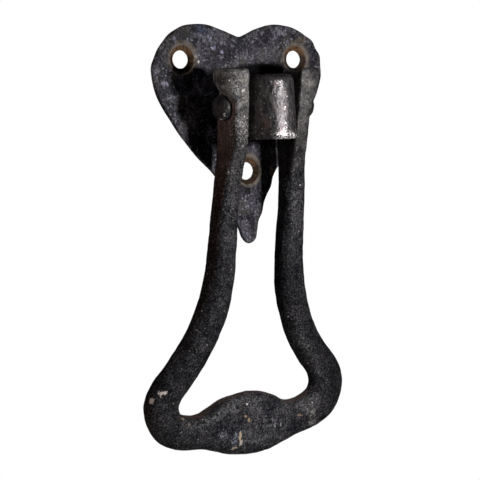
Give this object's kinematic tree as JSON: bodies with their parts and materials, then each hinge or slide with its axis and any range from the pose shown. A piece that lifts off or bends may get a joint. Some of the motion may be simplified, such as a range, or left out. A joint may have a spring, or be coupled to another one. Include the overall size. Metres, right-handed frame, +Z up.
{
  "type": "door knocker",
  "caption": "Hand-forged door knocker: heart-shaped back plate with countersunk screw holes, a riveted pivot lug, and a flared loop with a swelled crossbar that swings on a pin.",
  "frame": {"origin": "back face of the plate, midway between the two upper screw holes", "axes": "+Z up, -Y out from the door towards a caller, +Y into the door, +X to a caller's right"},
  "size_m": [0.0807, 0.0269, 0.1473],
  "materials": {
    "plate_iron": "worn dark patina with pale specks, rust in the screw holes",
    "lug_steel": "rubbed bare and pitted",
    "loop_iron": "satin black with fine specks, bare grey at the ears",
    "pin_iron": "dark, peened heads"
  },
  "bodies": {
    "plate": {"backplate": "plate_iron", "pivot_lug": "lug_steel"},
    "knocker": {"knocker_loop": "loop_iron", "pivot_pin": "pin_iron"}
  },
  "joints": [
    {"name": "knocker_swing", "type": "hinge", "parent": "plate", "child": "knocker", "pos_m": [0, -0.0148, -0.0164], "axis": [-1, 0, 0], "range_deg": [0, 93]}
  ]
}
